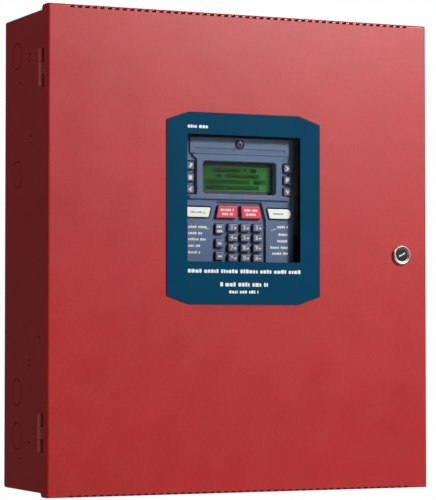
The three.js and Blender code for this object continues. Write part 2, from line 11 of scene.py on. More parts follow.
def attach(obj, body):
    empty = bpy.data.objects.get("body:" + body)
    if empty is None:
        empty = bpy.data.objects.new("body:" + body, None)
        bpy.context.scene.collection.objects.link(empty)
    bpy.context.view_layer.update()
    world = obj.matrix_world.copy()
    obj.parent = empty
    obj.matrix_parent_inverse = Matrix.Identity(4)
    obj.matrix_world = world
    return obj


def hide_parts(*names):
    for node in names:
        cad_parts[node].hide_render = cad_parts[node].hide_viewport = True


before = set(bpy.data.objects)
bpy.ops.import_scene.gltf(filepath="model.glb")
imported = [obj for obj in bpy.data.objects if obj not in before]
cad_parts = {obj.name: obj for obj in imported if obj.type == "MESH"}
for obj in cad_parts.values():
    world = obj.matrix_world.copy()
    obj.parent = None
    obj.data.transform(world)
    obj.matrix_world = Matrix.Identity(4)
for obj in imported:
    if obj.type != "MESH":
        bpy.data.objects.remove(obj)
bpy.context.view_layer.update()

MM = 0.001

# Millimetres in the part's frame: X right, Y into the wall, Z up.
CASE_W, CASE_H, CASE_D, CASE_SHEET, CASE_LIP = 422.9, 482.6, 133.35, 1.5, 13.5
DOOR_W, DOOR_H, DOOR_SHEET, DOOR_BEND = 427.2, 489.2, 1.2, 2.4
FRONT, DOOR_BACK, DOOR_RIM = -134.9, -133.7, -116.7
VENTS, VENT_PITCH, VENT_W, VENT_SKIN, VENT_REACH = 48, 8, 4.6, 0.1, 2.3
VENT_DROP = {1: 3.4, -1: 2.0}
RELIEF, RELIEF_W = 5.5, 4
HINGE_Z = (181.5, -181.2)
WINDOW_X, WINDOW_Z, WINDOW_W, WINDOW_H, WINDOW_HIDDEN = 0.2, 55.15, 127.5, 129.3, 1.7
LOCK_X, LOCK_Z, LOCK_TILT = 183, 0.2, 22
FACE = -122.4
TRAY_FLOOR = FACE + 3
SURROUND = FACE - 2.6
PAD = FACE - 2
OPENING_Z, OPENING_W, OPENING_H = 77.1, 83, 33.8
SCREW_Z = 111.4


# ---------------------------------------------------------------- outlines and solids
def fillet(points, inset=0.0, steps=5):
    """A closed outline of (x, z, radius) corners, moved inwards, with its corners rounded."""
    made = []
    count = len(points)
    for i, (_, _, radius) in enumerate(points):
        before, here, after = (Vector(points[(i + k) % count][:2]) for k in (-1, 0, 1))
        e1 = (here - before).normalized()
        e2 = (after - here).normalized()
        n1, n2 = Vector((-e1.y, e1.x)), Vector((-e2.y, e2.x))
        corner = here + (n1 + n2) * (inset / (1 + n1.dot(n2)))
        turn = math.atan2(e1.cross(e2), e1.dot(e2))
        side = 1 if turn > 0 else -1
        r = max(radius - side * inset, 0.02)
        start = corner - e1 * r * math.tan(abs(turn) / 2)
        centre = start + n1 * side * r
        arm = start - centre
        made += [centre + Matrix.Rotation(turn * k / steps, 2) @ arm for k in range(steps + 1)]
    return made


def ring(points, y, inset=0.0, steps=5):
    return [Vector((p.x, y, p.y)) * MM for p in fillet(points, inset, steps)]


def loft(bm, rings, endless=False):
    """A closed skin over rings of equal length: capped at both ends, or joined end to end."""
    rows = [[bm.verts.new(p) for p in r] for r in rings]
    for a, b in zip(rows, rows[1:] + rows[:1] if endless else rows[1:]):
        for i in range(len(a)):
            j = (i + 1) % len(a)
            bm.faces.new((a[i], a[j], b[j], b[i]))
    if not endless:
        bm.faces.new(rows[0])
        bm.faces.new(reversed(rows[-1]))


def arc(edge, count):
    """The (inset, setback) pairs of a rounded edge, from its side face to its front face."""
    turns = [math.pi / 2 * k / count for k in range(count + 1)]
    return [(edge * (1 - math.cos(a)), edge * (1 - math.sin(a))) for a in turns]


def slab(bm, points, front, back, edge=0.3, steps=5, count=3):
    """A plate between two places on Y, with its front edge rounded."""
    rings = [ring(points, back, 0, steps)]
    rings += [ring(points, front + setback, inset, steps) for inset, setback in arc(edge, count)]
    loft(bm, rings)


def rect(x, z, width, height, radius=0.5):
    a, b = width / 2, height / 2
    return [(x - a, z - b, radius), (x + a, z - b, radius), (x + a, z + b, radius), (x - a, z + b, radius)]


def turned(bm, x, z, profile, count=48, hollow=False):
    """A round solid about Y, from (radius, y) pairs; a hollow one has a closed profile off its axis."""
    angles = [2 * math.pi * k / count for k in range(count)]
    rings = [[Vector((x + r * math.cos(a), y, z + r * math.sin(a))) * MM for a in angles] for r, y in profile]
    loft(bm, rings, hollow)


def prism(bm, corners, low, high, axis):
    """A box or bar whose flat outline is drawn across an axis, and which runs between two places on it."""
    put = {
        "x": lambda u, v, w: (w, u, v),
        "y": lambda u, v, w: (u, w, v),
        "z": lambda u, v, w: (u, v, w),
    }[axis]
    loft(bm, [[Vector(put(u, v, w)) * MM for u, v in corners] for w in (low, high)])


def box(bm, x, y, z):
    corners = [(x[0], z[0]), (x[1], z[0]), (x[1], z[1]), (x[0], z[1])]
    prism(bm, corners, y[0], y[1], "y")


def circle(u, v, radius, count=20):
    return [
        (u + radius * math.cos(2 * math.pi * k / count), v + radius * math.sin(2 * math.pi * k / count))
        for k in range(count)
    ]


# ---------------------------------------------------------------- objects
def placed(name, bm):
    bmesh.ops.recalc_face_normals(bm, faces=bm.faces)
    mesh = bpy.data.meshes.new(name)
    bm.to_mesh(mesh)
    bm.free()
    obj = bpy.data.objects.new(name, mesh)
    bpy.context.scene.collection.objects.link(obj)
    return obj


def evaluated(obj):
    bpy.context.view_layer.update()
    return bpy.data.meshes.new_from_object(obj.evaluated_get(bpy.context.evaluated_depsgraph_get()))


def discard(obj):
    mesh = obj.data
    bpy.data.objects.remove(obj)
    bpy.data.meshes.remove(mesh)


def carved(bm, *tools):
    """The solid less each tool, as a new bmesh."""
    base = placed("base", bm)
    cutters = [placed("cutter", tool) for tool in tools]
    for cutter in cutters:
        modifier = base.modifiers.new("cut", "BOOLEAN")
        modifier.operation = "DIFFERENCE"
        modifier.solver = "MANIFOLD"
        modifier.object = cutter
    mesh = evaluated(base)
    made = bmesh.new()
    made.from_mesh(mesh)
    for obj in (base, *cutters):
        discard(obj)
    bpy.data.meshes.remove(mesh)
    return made


def shade(obj, sharp=32):
    mesh = obj.data
    mesh.polygons.foreach_set("use_smooth", [True] * len(mesh.polygons))
    mesh.set_sharp_from_angle(angle=math.radians(sharp))
    normals = obj.modifiers.new("normals", "WEIGHTED_NORMAL")
    normals.keep_sharp = True
    normals.weight = 100


def piece(name, bm, look, body, stands_for=(), edge=0.0):
    """One shown piece. edge is the width in mm of a small bevel on its sharp edges."""
    obj = placed(name, bm)
    if edge:
        bevel = obj.modifiers.new("edges", "BEVEL")
        bevel.width = edge * MM
        bevel.segments = 2
        bevel.limit_method = "ANGLE"
        bevel.angle_limit = math.radians(50)
        bevel.use_clamp_overlap = True
        mesh = evaluated(obj)
        old = obj.data
        obj.modifiers.clear()
        obj.data = mesh
        bpy.data.meshes.remove(old)
    shade(obj)
    obj.data.materials.clear()
    obj.data.materials.append(look)
    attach(obj, body)
    if stands_for:
        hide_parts(*stands_for)
    return obj


# ---------------------------------------------------------------- finishes
def linear(rgb):
    return [c / 255 / 12.92 if c <= 10 else ((c / 255 + 0.055) / 1.055) ** 2.4 for c in rgb] + [1.0]


class Finish:
    """A Principled material whose colour, roughness and surface are varied by noise in the part's frame."""

    def __init__(self, name, colour, rough, metal=0.0, coat=0.0):
        self.made = bpy.data.materials.new(name)
        self.made.use_nodes = True
        self.tree = self.made.node_tree
        self.shader = next(n for n in self.tree.nodes if n.type == "BSDF_PRINCIPLED")
        self.place = self.tree.nodes.new("ShaderNodeTexCoord").outputs["Object"]
        self.shader.inputs["Metallic"].default_value = metal
        self.shader.inputs["Coat Weight"].default_value = coat
        self.shader.inputs["Coat Roughness"].default_value = 0.25
        self.shader.inputs["Base Color"].default_value = linear(colour)
        self.shader.inputs["Roughness"].default_value = rough
        self.colour = linear(colour)
        self.height = None

    def noise(self, scale, detail=3.0, stretch=None):
        node = self.tree.nodes.new("ShaderNodeTexNoise")
        node.inputs["Scale"].default_value = scale
        node.inputs["Detail"].default_value = detail
        source = self.place
        if stretch:
            mapping = self.tree.nodes.new("ShaderNodeMapping")
            mapping.inputs["Scale"].default_value = stretch
            self.tree.links.new(source, mapping.inputs["Vector"])
            source = mapping.outputs["Vector"]
        self.tree.links.new(source, node.inputs["Vector"])
        return node.outputs["Fac"]

    def ranged(self, value, low, high):
        node = self.tree.nodes.new("ShaderNodeMapRange")
        node.inputs["From Min"].default_value = 0.3
        node.inputs["From Max"].default_value = 0.7
        node.inputs["To Min"].default_value = low
        node.inputs["To Max"].default_value = high
        self.tree.links.new(value, node.inputs["Value"])
        return node.outputs["Result"]

    def multiply(self, factor):
        mix = self.tree.nodes.new("ShaderNodeMix")
        mix.data_type = "RGBA"
        mix.blend_type = "MULTIPLY"
        mix.inputs["Factor"].default_value = 1.0
        socket = self.shader.inputs["Base Color"]
        if socket.links:
            self.tree.links.new(socket.links[0].from_socket, mix.inputs["A"])
        else:
            mix.inputs["A"].default_value = self.colour
        self.tree.links.new(factor, mix.inputs["B"])
        self.tree.links.new(mix.outputs["Result"], socket)

    def mottle(self, scale, low, high, detail=3.0, stretch=None):
        """The colour is brightened and darkened between two factors."""
        self.multiply(self.ranged(self.noise(scale, detail, stretch), low, high))
        return self

    def fade(self, axis, start, end, low, high):
        """The colour is multiplied by a factor that runs between two places in mm along an axis."""
        split = self.tree.nodes.new("ShaderNodeSeparateXYZ")
        self.tree.links.new(self.place, split.inputs["Vector"])
        factor = self.tree.nodes.new("ShaderNodeMapRange")
        factor.inputs["From Min"].default_value = start * MM
        factor.inputs["From Max"].default_value = end * MM
        factor.inputs["To Min"].default_value = low
        factor.inputs["To Max"].default_value = high
        self.tree.links.new(split.outputs[axis], factor.inputs["Value"])
        self.multiply(factor.outputs["Result"])
        return self

    def roughness(self, scale, low, high, stretch=None):
        value = self.ranged(self.noise(scale, 2.0, stretch), low, high)
        self.tree.links.new(value, self.shader.inputs["Roughness"])
        return self

    def bump(self, scale, depth, detail=2.0, stretch=None):
        """depth is in millimetres."""
        node = self.tree.nodes.new("ShaderNodeBump")
        node.inputs["Distance"].default_value = depth * MM
        node.inputs["Strength"].default_value = 1.0
        self.tree.links.new(self.noise(scale, detail, stretch), node.inputs["Height"])
        if self.height:
            self.tree.links.new(self.height, node.inputs["Normal"])
        self.height = node.outputs["Normal"]
        self.tree.links.new(self.height, self.shader.inputs["Normal"])
        return self

    def set(self, **values):
        for name, value in values.items():
            self.shader.inputs[name.replace("_", " ")].default_value = value
        return self


RED = Finish("red_powder_coat", (184, 38, 40), 0.35)
RED.mottle(14, 0.96, 1.04).mottle(420, 0.93, 1.07, 2).roughness(30, 0.31, 0.38).bump(650, 0.03)
# Painted highlight: the hinge parts get a pale pink, much lighter than the case red, standing in for the
# light caught along the hinge barrels.
HINGE_PAINTED_HIGHLIGHT = Finish("hinge_paint_painted_highlight", (226, 104, 110), 0.42, metal=0.15)
HINGE_PAINTED_HIGHLIGHT.mottle(300, 0.9, 1.06).roughness(200, 0.36, 0.5).bump(900, 0.01)
BLUE = Finish("blue_overlay", (2, 64, 92), 0.5)
BLUE.mottle(20, 0.94, 1.06).roughness(60, 0.46, 0.54).bump(1800, 0.008).set(Specular_IOR_Level=0.04)
GREY = Finish("grey_housing", (84, 106, 142), 0.45)
GREY.mottle(25, 0.95, 1.05).roughness(80, 0.4, 0.52).bump(1600, 0.012)
KEY_GREY = Finish("grey_key", (104, 110, 136), 0.32)
KEY_GREY.mottle(60, 0.94, 1.06).roughness(90, 0.27, 0.38).bump(1900, 0.008)
# Painted shade: the side walls of every key are a near-black navy, standing in for the shade along the keys'
# sides.
KEY_SKIRT_PAINTED_SHADE = Finish("key_skirt_painted_shade", (24, 26, 44), 0.5)
KEY_SKIRT_PAINTED_SHADE.mottle(60, 0.9, 1.1).roughness(90, 0.44, 0.56).bump(1900, 0.008)
KEY_WHITE_PAINTED_GLOW = Finish("white_key_painted_glow", (244, 248, 240), 0.4)
KEY_WHITE_PAINTED_GLOW.mottle(50, 0.97, 1.02).roughness(90, 0.36, 0.46).bump(1900, 0.006)
# Painted glow: besides their own white, the white keys give off a faint light, though they hold no lamp.
KEY_WHITE_PAINTED_GLOW.set(Emission_Color=linear((225, 232, 226)), Emission_Strength=0.12)
KEY_RED = Finish("red_key", (236, 58, 82), 0.4)
KEY_RED.mottle(60, 0.95, 1.05).roughness(90, 0.36, 0.46).bump(1900, 0.008)
INK = Finish("white_ink", (232, 236, 238), 0.55)
INK.mottle(300, 0.95, 1.03).roughness(200, 0.5, 0.6).bump(2500, 0.004)
NICKEL = Finish("nickel", (206, 200, 192), 0.22, metal=1.0)
NICKEL.mottle(160, 0.92, 1.04).roughness(220, 0.14, 0.3, (1, 6, 1)).bump(900, 0.006)
ZINC = Finish("zinc_plate", (170, 172, 168), 0.38, metal=1.0)
ZINC.mottle(35, 0.86, 1.08, 4).roughness(55, 0.28, 0.5).bump(700, 0.01)
STEEL = Finish("dark_steel", (46, 46, 46), 0.42, metal=0.9)
STEEL.mottle(50, 0.8, 1.15, 4).roughness(70, 0.34, 0.54).bump(800, 0.015)
SCREW = Finish("blued_screw", (62, 70, 100), 0.3, metal=0.5)
SCREW.mottle(200, 0.9, 1.1).roughness(200, 0.24, 0.36).bump(900, 0.01)
LAYERS_ALONG_Y = (0.05, 1, 0.05)  # noise that is fine along Y and drawn out along X and Z
LAMINATION = Finish("core_lamination", (54, 54, 58), 0.5, metal=0.8)
LAMINATION.mottle(900, 0.7, 1.2, 1, LAYERS_ALONG_Y)
LAMINATION.roughness(80, 0.42, 0.6).bump(900, 0.05, 1, LAYERS_ALONG_Y)
BOARD = Finish("circuit_board", (26, 84, 56), 0.34)
BOARD.mottle(90, 0.75, 1.2, 5).roughness(60, 0.26, 0.42).bump(420, 0.03, 1)
BLACK = Finish("black_plastic", (30, 31, 33), 0.45)
BLACK.mottle(40, 0.85, 1.15).roughness(70, 0.38, 0.52).bump(1500, 0.012)
TERMINAL = Finish("terminal_green", (44, 132, 74), 0.5)
TERMINAL.mottle(50, 0.92, 1.06).roughness(70, 0.42, 0.56).bump(1500, 0.01)
TAPE = Finish("coil_tape", (200, 164, 62), 0.42)
TAPE.mottle(40, 0.88, 1.08).roughness(60, 0.34, 0.5).bump(260, 0.06, 1, (1, 0.1, 1))
ALUMINIUM = Finish("aluminium", (186, 190, 194), 0.34, metal=1.0)
ALUMINIUM.mottle(60, 0.9, 1.06).roughness(90, 0.28, 0.44, (1, 1, 0.1)).bump(900, 0.008, 2, (1, 1, 0.1))
BRASS = Finish("brass", (190, 150, 82), 0.3, metal=1.0)
BRASS.mottle(120, 0.86, 1.06).roughness(120, 0.24, 0.42).bump(900, 0.008)
LCD_DARK = Finish("lcd_frame", (24, 26, 40), 0.4)
LCD_DARK.mottle(60, 0.9, 1.08).roughness(90, 0.34, 0.46).bump(1500, 0.008)
LCD_GREEN_PAINTED_SHADE = Finish("lcd_green_painted_shade", (40, 98, 38), 0.16)
# Painted shading: the display's green is darkened towards the left and towards the top and lightened towards
# the lower right.
LCD_GREEN_PAINTED_SHADE.fade("X", -36, 40, 0.45, 1.3).fade("Z", 89, 64, 0.6, 1.15)
LCD_GREEN_PAINTED_SHADE.mottle(28, 0.85, 1.15, 2).roughness(40, 0.12, 0.22).bump(1200, 0.002)
LCD_GREEN_PAINTED_SHADE.set(Emission_Color=linear((40, 112, 28)), Emission_Strength=0.32, Specular_IOR_Level=0.15)
LCD_DOT = Finish("lcd_dot", (3, 24, 12), 0.3)
LCD_DOT.mottle(200, 0.9, 1.1).roughness(90, 0.26, 0.36).bump(1500, 0.002).set(Specular_IOR_Level=0.02)
LED = Finish("green_lamp", (150, 190, 60), 0.2)
LED.mottle(200, 0.9, 1.1).roughness(90, 0.16, 0.26).bump(1500, 0.004)
LED.set(Emission_Color=linear((150, 200, 40)), Emission_Strength=0.4)
PANE = Finish("clear_polycarbonate", (30, 36, 40), 0.05)
PANE.mottle(20, 0.98, 1.02).roughness(30, 0.03, 0.08).bump(60, 0.004)
PANE.set(Alpha=0.04)


# ---------------------------------------------------------------- cabinet
def pan_rings(outline, bend, sheet, front, rim):
    """The rings of a sheet pan with rounded bends, from its inner floor over its rim to its outer face."""
    inner = [(sheet + i, front + sheet + s) for i, s in reversed(arc(bend - sheet, 5))]
    outer = [(i, front + s) for i, s in arc(bend, 7)]
    levels = inner + [(sheet, rim), (0, rim)] + outer
    return [ring(outline, y, inset, 6) for inset, y in levels]


def slit(bm, axis, u, v, low, high):
    """The slit round a knockout, as two arcs that leave a tab at each end of the disc's own upright."""
    radius, width, tab = 14.1, 1.2, 1.3
    start = math.asin(tab / radius)
    for side in (0, math.pi):
        angles = [side + math.pi / 2 + start + (math.pi - 2 * start) * k / 20 for k in range(21)]
        outer = [(u + radius * math.cos(a), v + radius * math.sin(a)) for a in angles]
        inside = [(u + (radius - width) * math.cos(a), v + (radius - width) * math.sin(a)) for a in angles]
        prism(bm, outer + inside[::-1], low, high, axis)


def back_box():
    outer = bmesh.new()
    outline = rect(0, 0, CASE_W, CASE_H, 2.2)
    rings = [ring(outline, -s, i, 6) for i, s in reversed(arc(2.2, 5))]
    rings += [ring(outline, -CASE_D + s, i, 6) for i, s in arc(2.2, 5)]
    loft(outer, rings)
    inside = bmesh.new()
    hollow = rect(0, 0, CASE_W - 2 * CASE_SHEET, CASE_H - 2 * CASE_SHEET, 1.2)
    loft(inside, [ring(hollow, -CASE_SHEET, 0, 4), ring(hollow, CASE_SHEET - CASE_D, 0, 4)])
    mouth = bmesh.new()
    opening = rect(0, 0, CASE_W - 2 * CASE_LIP, CASE_H - 2 * CASE_LIP, 1.5)
    loft(mouth, [ring(opening, -CASE_D - 1, 0, 4), ring(opening, 3 - CASE_D, 0, 4)])
    punched = bmesh.new()
    half_w, half_h = CASE_W / 2, CASE_H / 2
    for side in (-1, 1):
        wall = sorted((side * (half_w + 1), side * (half_w - CASE_SHEET - 1)))
        for y, z in ((-37.6, 201.5), (-39.6, 80), (-39.6, -142.5), (-40.8, -187)):
            slit(punched, "x", y, z, *wall)
        for y, z in (
            (-75.1, 200.4), (-75.1, 192.9), (-48, 173), (-78.3, 116.5), (-78.3, 110),
            (-105.3, -85.7), (-77.3, -109.9), (-77.3, -114.9), (-76, -192.3), (-48.8, -209.2),
        ):
            prism(punched, circle(y, z, 1.6), *wall, "x")
        for x in (-120, -40, 40, 120):
            if side > 0 or abs(x) > 100:
                lid = sorted((side * (half_h + 1), side * (half_h - CASE_SHEET - 1)))
                slit(punched, "z", x, -39.6, *lid)
        for z in (-203.2, 203.2):
            x = side * 152.4
            head = math.asin(2.8 / 4.8)
            turns = [math.pi / 2 + head + (2 * math.pi - 2 * head) * k / 20 for k in range(21)]
            lower = [(x + 4.8 * math.cos(a), z + 4.8 * math.sin(a)) for a in turns]
            half_turn = [math.pi * k / 8 for k in range(9)]
            cap = [(x + 2.8 * math.cos(a), z + 11 + 2.8 * math.sin(a)) for a in half_turn]
            prism(punched, lower + cap, -CASE_SHEET - 1, 1, "y")
    for z in HINGE_Z:
        box(punched, (-half_w - 1, 15.5 - half_w), (-CASE_D - 1, -111.9), (z - 20.5, z + 20.5))
    made = carved(outer, inside, mouth, punched)
    return piece("back_box_shell", made, RED.made, "cabinet", ("back_box",), 0.2)


def door():
    shell = bmesh.new()
    outline = rect(0, 0, DOOR_W, DOOR_H, 0.6)
    loft(shell, pan_rings(outline, DOOR_BEND, DOOR_SHEET, FRONT, DOOR_RIM))
    openings = bmesh.new()
    hole = rect(WINDOW_X, WINDOW_Z, WINDOW_W + 2 * WINDOW_HIDDEN, WINDOW_H + 2 * WINDOW_HIDDEN, 1)
    loft(openings, [ring(hole, FRONT - 1), ring(hole, DOOR_BACK + 1)])
    prism(openings, circle(LOCK_X, LOCK_Z, 9.3, 40), FRONT - 1, DOOR_BACK + 1, "y")
    for z in HINGE_Z:
        box(openings, (-DOOR_W / 2 - 1, 2.2 - DOOR_W / 2), (FRONT + 11.4, DOOR_RIM + 1), (z - 19.5, z + 19.5))
    vents = bmesh.new()
    half_h, half_w = DOOR_H / 2, DOOR_W / 2
    for side in (-1, 1):
        for i in range(VENTS):
            x = (i - (VENTS - 1) / 2) * VENT_PITCH
            low, high = sorted((side * (half_h - VENT_DROP[side]), side * (half_h - VENT_SKIN)))
            box(vents, (x - VENT_W / 2, x + VENT_W / 2), (FRONT - 1, FRONT + VENT_REACH), (low, high))
    # The rear corners of the flanges are rounded.
    corners = bmesh.new()
    start, end = DOOR_RIM - RELIEF, half_h - RELIEF
    turns = [math.pi / 2 * k / 8 for k in range(9)]
    curve = [(start + RELIEF * math.sin(a), end + RELIEF * math.cos(a)) for a in turns]
    waste = curve + [(DOOR_RIM + 1, end), (DOOR_RIM + 1, half_h + 1), (start, half_h + 1)]
    for side in (-1, 1):
        for end_x in (-1, 1):
            across = sorted((end_x * (half_w + 1), end_x * (half_w - RELIEF_W)))
            prism(corners, [(y, side * z) for y, z in waste], *across, "x")
    made = carved(shell, openings, vents, corners)
    return piece("door_panel", made, RED.made, "door", ("door_shell",), 0.15)


# ---------------------------------------------------------------- window and printed overlay
def bezel():
    x, z, a, b = 0.2, 44.75, 86.6, 97.65
    cut_x, cut_z, r = 24.3, 8.4, 1.6
    outline = [
        (x - a + cut_x, z - b, r), (x + a - cut_x, z - b, r), (x + a, z - b + cut_z, r),
        (x + a, z + b - cut_z, r), (x + a - cut_x, z + b, r), (x - a + cut_x, z + b, r),
        (x - a, z + b - cut_z, r), (x - a, z - b + cut_z, r),
    ]
    sheet = bmesh.new()
    slab(sheet, outline, FRONT - 1.1, FRONT - 0.3, 0.35)
    hole = bmesh.new()
    window = rect(WINDOW_X, WINDOW_Z, WINDOW_W, WINDOW_H, 1.2)
    loft(hole, [ring(window, FRONT - 3), ring(window, FRONT + 1)])
    piece("window_overlay", carved(sheet, hole), BLUE.made, "door", ("window_bezel",), 0.15)
    pane = bmesh.new()
    slab(pane, rect(WINDOW_X, WINDOW_Z, 148, 150, 4), DOOR_BACK + 0.3, DOOR_BACK + 2.3, 0.3)
    piece("window_sheet", pane, PANE.made, "door", ("window_pane",))


def bars(bm, left, right, z, height, y, seed, thick=0.06, gap=0.55):
    """A line of lettering turned into unreadable strokes between two places along X."""
    dice = random.Random(seed)
    x = left
    while x < right - height * 0.25:
        word = min(dice.uniform(2.2, 5.5) * height, right - x)
        end = x + word
        while x < end - height * 0.3:
            stroke = min(dice.uniform(0.45, 0.95) * height, end - x)
            tall = height * dice.uniform(0.78, 1.0)
            mark = rect(x + stroke / 2, z - (height - tall) / 2, stroke, tall, height * 0.16)
            slab(bm, mark, y - thick, y, 0.02, 2, 1)
            x += stroke + height * 0.16
        x += height * gap


def overlay_print():
    y = FRONT - 1.1
    lines = bmesh.new()
    bars(lines, -63.4, -40.2, 127.7, 3.4, y, 3)
    bars(lines, -63.2, 64.4, -19.1, 4.0, y, 5)
    bars(lines, -21.5, 26.6, -32.5, 4.4, y, 8)
    bars(lines, -17.2, 15.8, -40.1, 3.2, y, 13)
    slab(lines, rect(-25.6, -32.5, 3.2, 4.2, 0.5), y - 0.06, y, 0.02, 2, 1)
    piece("overlay_print", lines, INK.made, "door")


# ---------------------------------------------------------------- lock
def keyway_block(left, right, tall, low, high):
    """A bar across the plug's face, tilted as the keyway is."""
    bm = bmesh.new()
    spin = Matrix.Rotation(math.radians(LOCK_TILT), 2)
    corners = [(left, -tall), (right, -tall), (right, tall), (left, tall)]
    placed_corners = [spin @ Vector(p) + Vector((LOCK_X, LOCK_Z)) for p in corners]
    prism(bm, [tuple(p) for p in placed_corners], low, high, "y")
    return bm


def lock():
    head_front, seat = FRONT - 3.3, FRONT - 0.3
    barrel = 8.8  # 0.2 mm clear of the cam's crank, whose inner face is 9 mm from the axis
    body = bmesh.new()
    turned(body, LOCK_X, LOCK_Z, [
        (6.7, -122.1), (barrel, -122.1), (barrel, seat - 0.01), (10.3, seat), (10.3, head_front + 1.4),
        (10.0, head_front + 0.6), (9.5, head_front + 0.12), (8.9, head_front), (8.2, head_front + 0.2),
        (7.8, head_front + 0.8), (7.7, head_front + 1.3), (6.9, head_front + 1.4), (6.7, head_front + 1.6),
    ], 64, True)
    piece("lock_housing", body, NICKEL.made, "door", ("lock_body",))
    plug = bmesh.new()
    face = head_front + 1.0
    turned(plug, LOCK_X, LOCK_Z, [(6.55, -122.0), (6.55, face + 0.5), (6.3, face + 0.12), (5.9, face)])
    slot = keyway_block(-4.2, 4.4, 0.9, face - 1, face + 5)
    piece("lock_plug_face", carved(plug, slot), STEEL.made, "lock", ("lock_plug",), 0.12)
    shutter = keyway_block(-3.9, 4.3, 0.85, face + 0.1, face + 0.8)
    piece("lock_shutter", shutter, NICKEL.made, "lock", (), 0.1)


# ---------------------------------------------------------------- display and keypad
def mirrored(points):
    return [(-x, z, r) for x, z, r in reversed(points)]


def key_outlines():
    keys = {}
    for row in range(3):
        z = 88.5 - 12.15 * row
        keys[f"left_{row + 1}"] = rect(-55.2, z, 9, 8.5, 1.2)
        keys[f"right_{row + 1}"] = rect(55.2, z, 9, 8.5, 1.2)
    keys["white_right"] = [(34.5, 35.8, 1.2), (59.6, 35.8, 5.2), (59.6, 46.6, 5.2), (31.6, 46.6, 1.2)]
    keys["white_left"] = [(-59.6, 35.8, 2.4), (-34.5, 35.8, 1.2), (-31.6, 46.6, 1.2), (-59.6, 46.6, 1.6)]
    red = [(2.6, 35.4, 1), (26.1, 35.4, 1), (23.5, 48.8, 1.2), (1.6, 48.8, 1)]
    keys["red_right"] = red
    keys["red_left"] = mirrored(red)
    for i, (z, height) in enumerate(((24.6, 10.6), (9.7, 9.2), (-3.4, 9.2))):
        keys[f"side_{i + 1}"] = rect(-21.9, z, 9.8, height, 1.2)
    for i, label in enumerate(("1", "2", "3", "4", "5", "6", "7", "8", "9", "star", "0", "hash")):
        keys[label] = rect(-7 + 14.1 * (i % 3), 26.1 - 10.4 * (i // 3), 11, 8.2, 1.3)
    return keys


KEYS = key_outlines()
TRAY = [(-29.5, -12, 1), (31, -12, 1), (31, 34, 3), (26, 52.8, 2), (-24.5, 52.8, 2), (-29.5, 34, 3)]


def in_face(name):
    return "white" in name or name.startswith(("left_", "right_"))


def key_front(name):
    return FACE - 1.6 if in_face(name) else TRAY_FLOOR - 4.2


def housing():
    shell = bmesh.new()
    slab(shell, rect(0, 52.25, 125, 133.5, 4), FACE, -106, 0.8, 6, 4)
    hollow = bmesh.new()
    inside = rect(0, 52.25, 121.8, 130.3, 2.5)
    loft(hollow, [ring(inside, FACE + 4.6), ring(inside, -105)])
    opening = rect(0, OPENING_Z, OPENING_W, OPENING_H, 3.6)
    wells = bmesh.new()
    for outline in (rect(-55.6, 76.7, 12.6, 34.6, 1.5), rect(55.6, 76.7, 12.6, 34.6, 1.5)):
        loft(wells, [ring(outline, FACE - 1), ring(outline, FACE + 2)])
    for name in ("white_left", "white_right"):
        loft(wells, [ring(KEYS[name], FACE - 1, -1.3), ring(KEYS[name], FACE + 2, -1.3)])
    loft(wells, [ring(TRAY, FACE - 1), ring(TRAY, TRAY_FLOOR)])
    holes = bmesh.new()
    for outline in KEYS.values():
        loft(holes, [ring(outline, FACE - 2, -0.3), ring(outline, -117, -0.3)])
    loft(holes, [ring(opening, FACE - 4), ring(opening, -104)])
    prism(holes, circle(0, SCREW_Z, 2.3), FACE - 1, -117, "y")
    piece("display_face", carved(shell, hollow, wells, holes), GREY.made, "cabinet",
          ("display_housing",), 0.35)
    rim = bmesh.new()
    right = [(57, 54.6, 1), (57, 58, 1.2), (48.5, 59.8, 1.6), (48.5, 96, 2), (53, 98, 2), (53, 102, 1)]
    slab(rim, right + mirrored(right), SURROUND, FACE + 0.2, 1.1, 5, 4)
    hole = bmesh.new()
    loft(hole, [ring(opening, SURROUND - 2), ring(opening, FACE + 2)])
    piece("display_surround", carved(rim, hole), GREY.made, "cabinet", (), 0.7)
    liner = bmesh.new()
    slab(liner, rect(0, OPENING_Z, OPENING_W + 4, OPENING_H + 4, 4.6), FACE, -115.1, 0.1)
    bore = bmesh.new()
    clear = rect(0, OPENING_Z, OPENING_W + 0.2, OPENING_H + 0.2, 3.6)
    loft(bore, [ring(clear, FACE - 2), ring(clear, -114)])
    piece("display_liner", carved(liner, bore), GREY.made, "cabinet")
    pad = bmesh.new()
    slab(pad, rect(0.5, 109.6, 113, 18, 3), PAD, FACE + 0.2, 0.9, 5, 4)
    grooves = bmesh.new()
    for x in (-28.5, 28.5):
        groove = rect(x, 105.6, 46, 2.6, 1.2)
        loft(grooves, [ring(groove, PAD - 1, -0.5), ring(groove, PAD + 1)])
    prism(grooves, circle(0, SCREW_Z, 5.4, 32), PAD - 1, FACE + 1, "y")
    piece("display_pad", carved(pad, grooves), GREY.made, "cabinet", (), 0.3)
    ridge = bmesh.new()
    slab(ridge, rect(0, 101.8, 104, 2, 0.9), SURROUND - 0.9, SURROUND + 0.1, 0.8, 4, 4)
    piece("display_ridge", ridge, GREY.made, "cabinet")
    screw = bmesh.new()
    turned(screw, 0, SCREW_Z, [(2, -115), (2, FACE - 0.3), (4.6, FACE - 0.3), (4.6, FACE - 1.6),
                               (4.2, FACE - 2.3), (3.2, FACE - 2.65), (1.5, FACE - 2.7)], 32)
    drive = bmesh.new()
    prism(drive, circle(0, SCREW_Z, 1.5, 6), FACE - 4, FACE - 1.2, "y")
    made = carved(screw, drive)
    piece("display_fixing", made, SCREW.made, "cabinet", ("display_screw",), 0.1)


